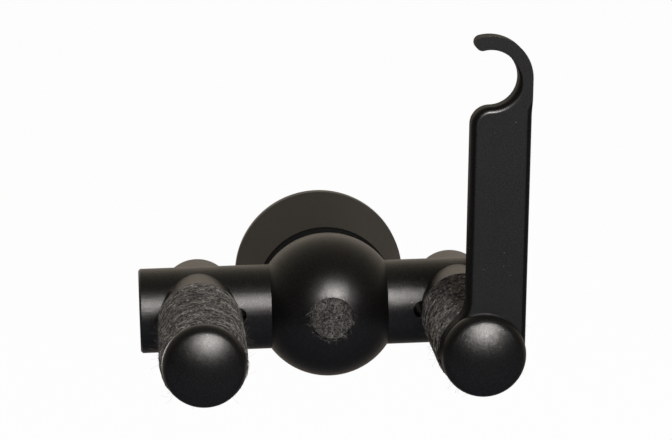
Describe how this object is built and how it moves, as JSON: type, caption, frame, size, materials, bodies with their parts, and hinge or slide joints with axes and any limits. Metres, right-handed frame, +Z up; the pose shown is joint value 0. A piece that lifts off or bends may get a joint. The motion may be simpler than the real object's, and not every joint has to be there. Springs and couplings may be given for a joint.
{
  "type": "wall hanger for a bowed instrument",
  "caption": "Wall hanger for a violin: a tapered base and ball carry a crossbar with sliding arms wound in wool yarn, and a flat swivelling hook for the bow.",
  "frame": {"origin": "middle of the back face of the wall base, on the wall", "axes": "+X to the right seen from the front, +Y into the wall, +Z up; the arms point along -Y"},
  "size_m": [0.067, 0.0755, 0.0683],
  "materials": {
    "black_metal": "bead-blasted, black anodised, satin",
    "bright_steel": "zinc-plated",
    "dark_steel": "black oxide",
    "wool_yarn": "charcoal heather wool yarn, slightly felted",
    "felt": "charcoal heather felt",
    "nylon": "natural nylon"
  },
  "bodies": {
    "base": {"wall_base": "black_metal", "mounting_disc": "bright_steel", "grub_screw": "dark_steel", "swivel_bolt": "dark_steel", "spring_washer": "bright_steel", "friction_washer": "nylon"},
    "fork": {"ball": "black_metal", "crossbar": "black_metal", "felt_pad": "felt"},
    "left_finger": {"left_arm": "black_metal", "left_yarn": "wool_yarn", "left_cap": "black_metal", "left_cap_stud": "dark_steel", "left_arm_stud": "dark_steel", "left_saddle": "black_metal"},
    "left_clamp": {"left_nut": "black_metal"},
    "right_finger": {"right_arm": "black_metal", "right_yarn": "wool_yarn", "right_cap_stud": "dark_steel", "right_arm_stud": "dark_steel", "right_saddle": "black_metal", "hook_washer": "nylon"},
    "right_clamp": {"right_nut": "black_metal"},
    "hook": {"bow_hook": "black_metal"},
    "knob": {"right_cap": "black_metal"}
  },
  "joints": [
    {"name": "swivel", "type": "hinge", "parent": "base", "child": "fork", "pos_m": [0, -0.0285, 0], "axis": [0, -1, 0], "continuous": true},
    {"name": "left_slide", "type": "slide", "parent": "fork", "child": "left_finger", "axis": [-1, 0, 0], "range_m": [-0.0026, 0.0035]},
    {"name": "right_slide", "type": "slide", "parent": "fork", "child": "right_finger", "axis": [1, 0, 0], "range_m": [-0.0026, 0.0035]},
    {"name": "left_nut_turn", "type": "hinge", "parent": "left_finger", "child": "left_clamp", "pos_m": [-0.023, -0.0175, 0], "axis": [0, 1, 0], "continuous": true},
    {"name": "right_nut_turn", "type": "hinge", "parent": "right_finger", "child": "right_clamp", "pos_m": [0.023, -0.0175, 0], "axis": [0, 1, 0], "continuous": true},
    {"name": "hook_turn", "type": "hinge", "parent": "right_finger", "child": "hook", "pos_m": [0.023, -0.07, 0], "axis": [0, -1, 0], "range_deg": [-240, 70]},
    {"name": "knob_turn", "type": "hinge", "parent": "right_finger", "child": "knob", "pos_m": [0.023, -0.0735, 0], "axis": [0, -1, 0], "continuous": true}
  ]
}
